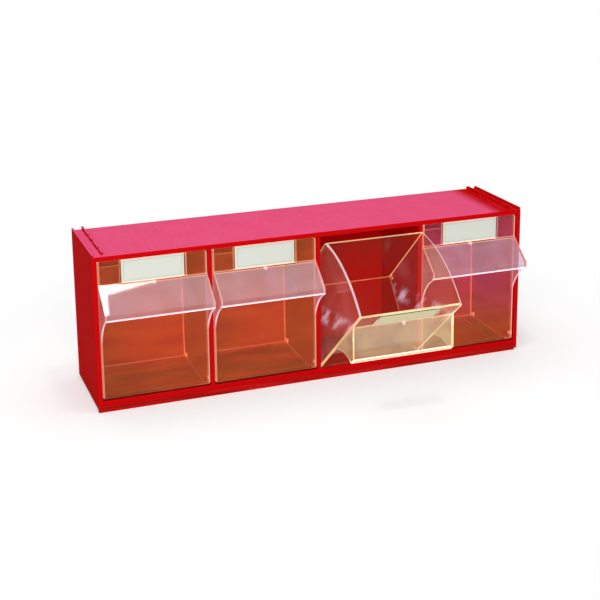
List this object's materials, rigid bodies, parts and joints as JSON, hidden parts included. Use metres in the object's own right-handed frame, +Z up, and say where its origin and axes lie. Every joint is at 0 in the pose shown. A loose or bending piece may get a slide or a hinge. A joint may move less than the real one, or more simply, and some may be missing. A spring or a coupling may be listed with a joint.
{
  "type": "tilt-out bin organizer",
  "caption": "Long low plastic housing with a row of clear bins that tilt forward on pegs; each bin has a grip flap and a label.",
  "frame": {"origin": "middle of the housing's underside", "axes": "+X along the length to the right as seen from the front, -Y out of the open fronts, +Z up"},
  "size_m": [0.6, 0.264, 0.21],
  "materials": {
    "housing": "gloss moulded red",
    "bin": "clear moulded",
    "cover": "clear moulded",
    "card": "matt off-white paper"
  },
  "bodies": {
    "housing": {"housing": "housing"},
    "bin_1_body": {"bin_1": "bin", "label_cover_1": "cover", "label_card_1": "card"},
    "bin_2_body": {"bin_2": "bin", "label_cover_2": "cover", "label_card_2": "card"},
    "bin_3_body": {"bin_3": "bin", "label_cover_3": "cover", "label_card_3": "card"},
    "bin_4_body": {"bin_4": "bin", "label_cover_4": "cover", "label_card_4": "card"}
  },
  "joints": [
    {"name": "bin_1_tilt", "type": "hinge", "parent": "housing", "child": "bin_1_body", "pos_m": [-0.22268, -0.0555, 0.022], "axis": [1, 0, 0], "range_deg": [0, 50]},
    {"name": "bin_2_tilt", "type": "hinge", "parent": "housing", "child": "bin_2_body", "pos_m": [-0.07422, -0.0555, 0.022], "axis": [1, 0, 0], "range_deg": [0, 50]},
    {"name": "bin_3_tilt", "type": "hinge", "parent": "housing", "child": "bin_3_body", "pos_m": [0.07422, -0.0555, 0.022], "axis": [1, 0, 0], "range_deg": [-50, 0]},
    {"name": "bin_4_tilt", "type": "hinge", "parent": "housing", "child": "bin_4_body", "pos_m": [0.22268, -0.0555, 0.022], "axis": [1, 0, 0], "range_deg": [0, 50]}
  ]
}
